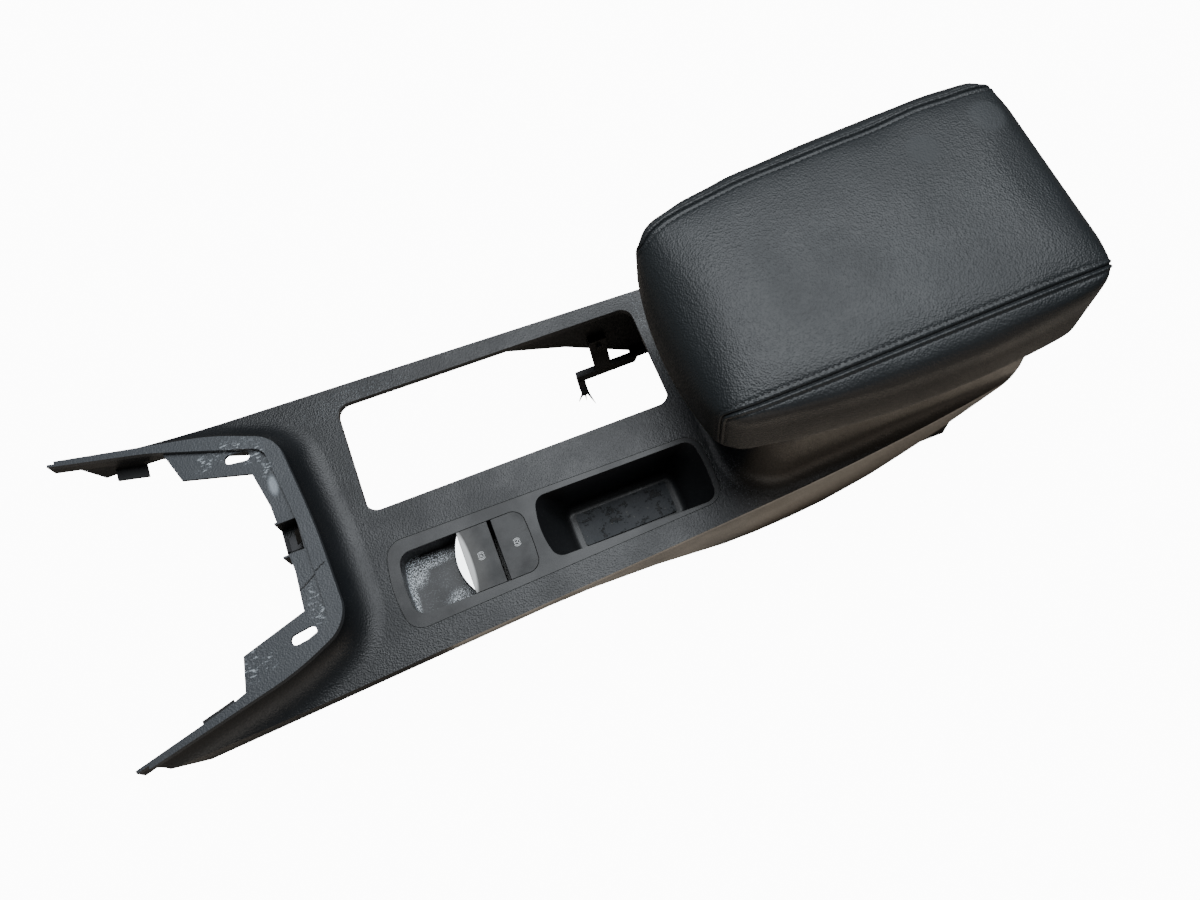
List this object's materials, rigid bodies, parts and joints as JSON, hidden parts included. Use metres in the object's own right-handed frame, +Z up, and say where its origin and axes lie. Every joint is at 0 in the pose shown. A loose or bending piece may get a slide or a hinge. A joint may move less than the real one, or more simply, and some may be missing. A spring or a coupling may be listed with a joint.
{
  "type": "car centre console",
  "caption": "Car centre console with raised front collar, gear selector cut-out, switch and coin tray panel, storage bin and hinged padded armrest.",
  "frame": {"origin": "middle of the console's overall footprint, on the plane of its lowest edges", "axes": "+X to the rear of the car (towards the armrest), +Y to the car's right-hand side, +Z up"},
  "size_m": [0.812, 0.276, 0.2599],
  "materials": {
    "body_plastic": "fine grained, slightly scuffed",
    "panel_plastic": "satin",
    "tray_rubber": "worn and dusty",
    "key_plastic": "satin black",
    "chrome": "bright plated plastic",
    "steel": "zinc plated",
    "spring_steel": "dull",
    "rail_steel": "black coated",
    "hinge_steel": "black coated",
    "housing_plastic": "plain",
    "circuit_board": "plain",
    "contact_rubber": "plain",
    "clip_plastic": "plain",
    "bin_plastic": "fine grained",
    "bin_rubber": "ribbed",
    "stop_rubber": "plain",
    "leather": "pebbled, lightly worn"
  },
  "bodies": {
    "console": {"console_shell": "body_plastic", "switch_panel": "panel_plastic", "tray_mat": "tray_rubber", "brake_switch_pin": "steel", "switch_housing": "housing_plastic", "switch_board": "circuit_board", "contact_mat": "contact_rubber", "panel_screws": "steel", "housing_screws": "steel", "front_spring_clip": "spring_steel", "arm_clip_right": "clip_plastic", "arm_clip_left": "clip_plastic", "side_rail_right": "rail_steel", "side_rail_left": "rail_steel", "storage_bin": "bin_plastic", "bin_mat": "bin_rubber", "bump_stops": "stop_rubber", "rear_bracket_right": "rail_steel", "rear_bracket_left": "rail_steel", "bracket_screws": "steel", "hinge_bracket": "hinge_steel", "hinge_pin": "steel", "hinge_screws": "steel"},
    "armrest": {"armrest_pad": "leather", "lid_shell": "bin_plastic", "lid_liner": "bin_plastic", "lid_screws": "steel", "hinge_leaf": "hinge_steel", "leaf_screws": "steel"},
    "brake_switch": {"parking_brake_switch": "key_plastic", "switch_chrome_lip": "chrome"},
    "hold_button": {"hold_button": "key_plastic"}
  },
  "joints": [
    {"name": "armrest_hinge", "type": "hinge", "parent": "console", "child": "armrest", "pos_m": [0.391, 0, 0.166], "axis": [0, 1, 0], "range_deg": [0, 95]},
    {"name": "brake_switch_rock", "type": "hinge", "parent": "console", "child": "brake_switch", "pos_m": [-0.095, -0.06625, 0.093], "axis": [0, 1, 0], "range_deg": [-5, 6], "stiffness_Nm_per_rad": 0.35},
    {"name": "hold_button_press", "type": "slide", "parent": "console", "child": "hold_button", "axis": [0, 0, -1], "range_m": [0, 0.0015], "stiffness_N_per_m": 1300}
  ]
}
